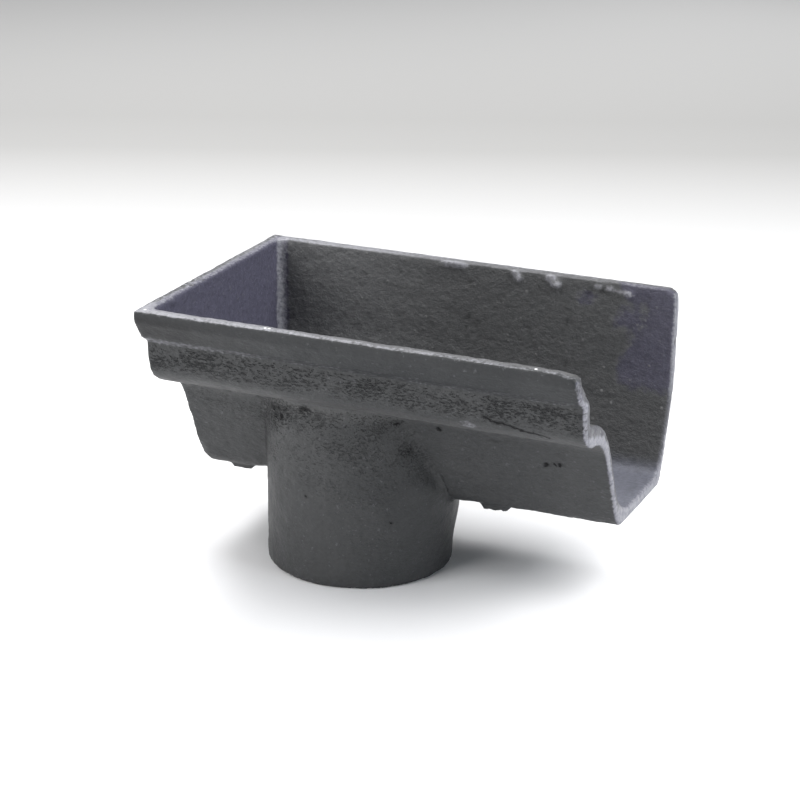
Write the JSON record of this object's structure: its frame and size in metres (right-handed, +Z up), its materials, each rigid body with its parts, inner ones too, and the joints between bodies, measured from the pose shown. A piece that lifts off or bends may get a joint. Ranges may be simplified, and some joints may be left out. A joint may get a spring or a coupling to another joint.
{
  "type": "cast iron ogee gutter stop end outlet",
  "caption": "Ogee cast iron gutter end, closed at its left, with a round outlet spigot cast in one piece.",
  "frame": {"origin": "axis of the outlet at the foot of its spigot", "axes": "+X along the gutter to its open end, +Y back to the fascia, +Z up the outlet's axis"},
  "size_m": [0.172, 0.115, 0.106],
  "materials": {
    "painted_iron": "matt grey metal primer over a rough sand casting, rubbed pale along the rim"
  },
  "bodies": {
    "root": {"stopend_outlet": "painted_iron"}
  },
  "joints": []
}
